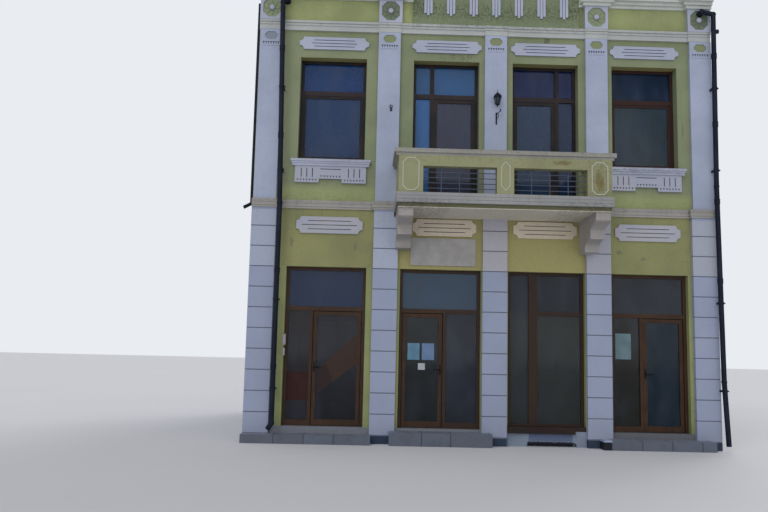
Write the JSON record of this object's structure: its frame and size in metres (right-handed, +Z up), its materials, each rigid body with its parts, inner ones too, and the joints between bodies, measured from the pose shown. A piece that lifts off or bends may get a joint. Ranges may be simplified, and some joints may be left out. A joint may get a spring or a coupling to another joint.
{
  "type": "corner shop building",
  "caption": "Two-storey stucco town house with shop bays, pilasters, balcony on stepped corbels and raised attic.",
  "frame": {"origin": "on the ground, in the middle of the building's plan", "axes": "+Z up, the street front faces -Y, +X to the right as seen from the street"},
  "size_m": [9.079, 9.155, 9.9877],
  "materials": {
    "green_stucco": "matt painted lime stucco, stained",
    "white_trim": "matt painted stucco, chipped",
    "plain_plaster": "matt plaster, weathered",
    "brown_joinery": "satin brown paint",
    "dark_glass": "clear, dark inside",
    "black_metal": "semi-gloss black paint",
    "base_concrete": "rough",
    "floor_boards": "worn boards",
    "roof_tiles": "matt clay tile",
    "sign_panel": "satin, bare",
    "step_tiles": "matt floor tile",
    "curtain_cloth": "thin woven curtain cloth, faded"
  },
  "bodies": {
    "house": {"foundation_slab": "base_concrete", "front_piers": "green_stucco", "spandrel_wall": "green_stucco", "upper_front_wall": "green_stucco", "frieze_wall": "green_stucco", "left_party_wall": "plain_plaster", "right_party_wall": "plain_plaster", "back_wall_ground": "plain_plaster", "back_wall_upper": "plain_plaster", "upper_floor": "floor_boards", "ceiling": "plain_plaster", "roof": "roof_tiles", "pilasters": "white_trim", "belt_course": "white_trim", "string_cornice": "white_trim", "rosette_blocks": "white_trim", "top_cornice": "white_trim", "attic_wall": "green_stucco", "attic_pendants": "white_trim", "balcony_slab": "white_trim", "balcony_parapet": "green_stucco", "balcony_coping": "white_trim", "balcony_rods": "black_metal", "corbels": "white_trim", "window_sills": "white_trim", "window_aprons": "white_trim", "plaques": "white_trim", "sign_board": "sign_panel", "upper_window_frames": "brown_joinery", "balcony_doors": "brown_joinery", "upper_glass": "dark_glass", "shop_frames": "brown_joinery", "shop_glass": "dark_glass", "back_windows": "brown_joinery", "entry_steps": "step_tiles", "shop_window_sill": "brown_joinery", "wall_lantern": "black_metal", "downpipes": "black_metal"},
    "door_1": {"door_1_leaf": "brown_joinery", "door_1_glass": "dark_glass", "door_1_handle": "black_metal"},
    "door_2": {"door_2_leaf": "brown_joinery", "door_2_glass": "dark_glass", "door_2_handle": "black_metal"},
    "door_4": {"door_4_leaf": "brown_joinery", "door_4_glass": "dark_glass", "door_4_handle": "black_metal"}
  },
  "joints": [
    {"name": "door_1_hinge", "type": "hinge", "parent": "house", "child": "door_1", "pos_m": [-2.275, -3.587, 1.3], "axis": [0, 0, -1], "range_deg": [0, 90]},
    {"name": "door_2_hinge", "type": "hinge", "parent": "house", "child": "door_2", "pos_m": [-1.51, -3.587, 1.3], "axis": [0, 0, 1], "range_deg": [0, 90]},
    {"name": "door_4_hinge", "type": "hinge", "parent": "house", "child": "door_4", "pos_m": [3.785, -3.587, 1.3], "axis": [0, 0, -1], "range_deg": [0, 90]}
  ]
}
